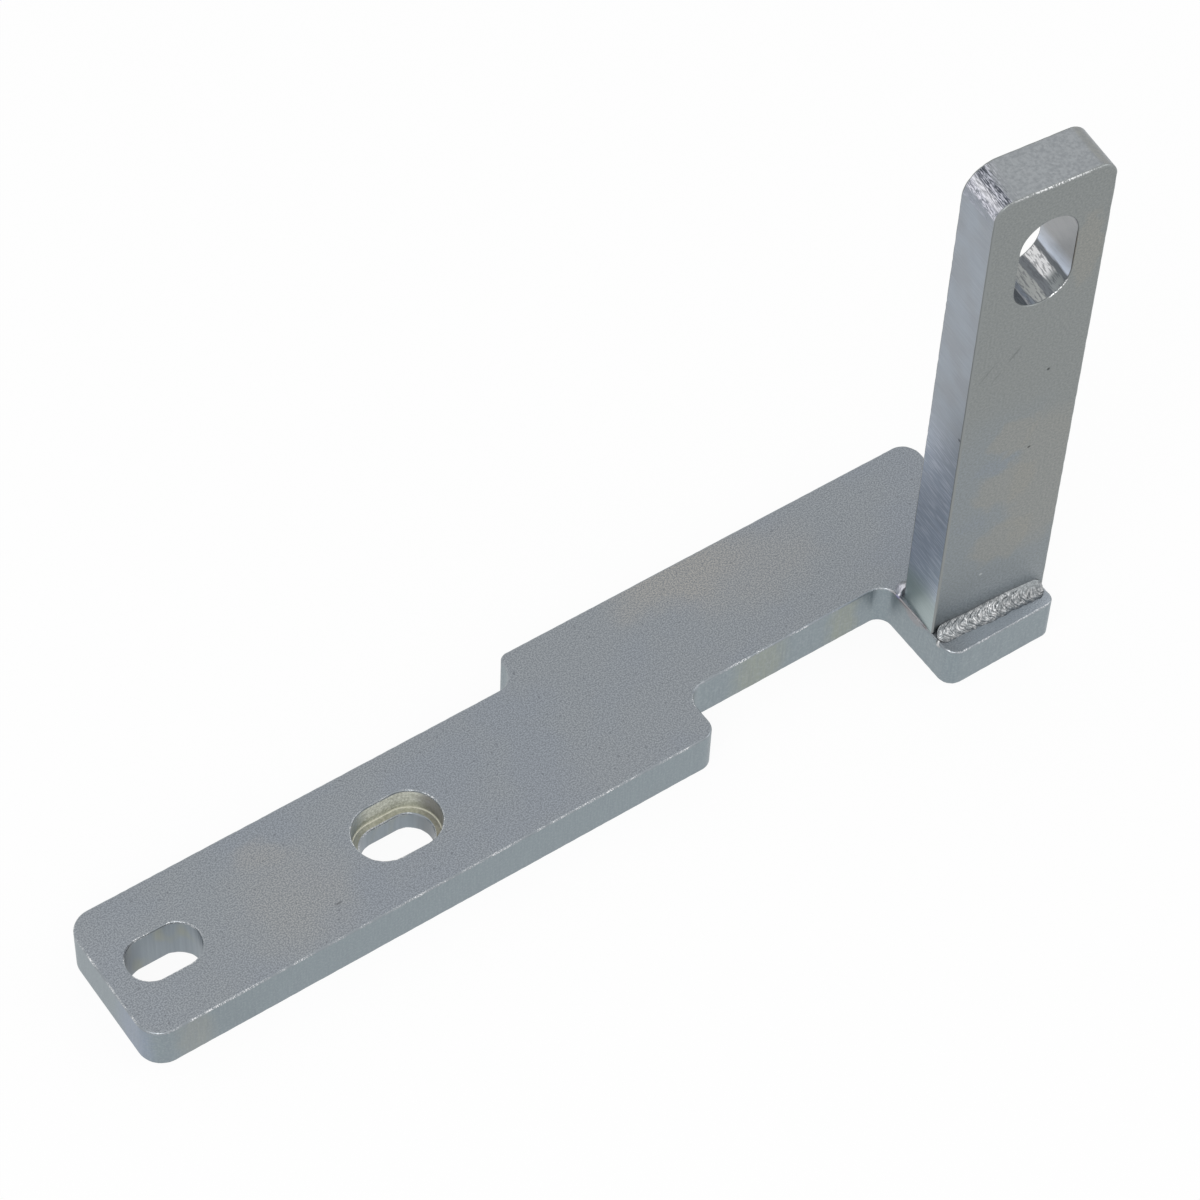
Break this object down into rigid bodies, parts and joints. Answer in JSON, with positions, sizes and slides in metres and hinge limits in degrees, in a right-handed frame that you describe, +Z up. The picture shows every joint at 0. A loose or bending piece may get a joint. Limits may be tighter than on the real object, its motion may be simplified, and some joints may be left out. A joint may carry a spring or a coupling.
{
  "type": "engine mount bracket",
  "caption": "Flat stepped steel plate with bolt slots, one counterbored, and a slotted flat bar welded upright on its end tab.",
  "frame": {"origin": "on the plate's underside, midway between the plate's two bolt slots", "axes": "+X along the plate towards the upright bar, +Y across it away from the tab's front edge, +Z up out of the plate"},
  "size_m": [0.1942, 0.0468, 0.1285],
  "materials": {
    "plate_zinc": "zinc plated over a finely blasted face, blue-grey with faint yellow patches",
    "bar_zinc": "zinc plated and satin smooth, olive-grey",
    "weld_zinc": "zinc plated weld metal, bright and rippled"
  },
  "bodies": {
    "root": {"base_plate": "plate_zinc", "upright_bar": "bar_zinc", "front_weld": "weld_zinc", "rear_weld": "weld_zinc"}
  },
  "joints": []
}
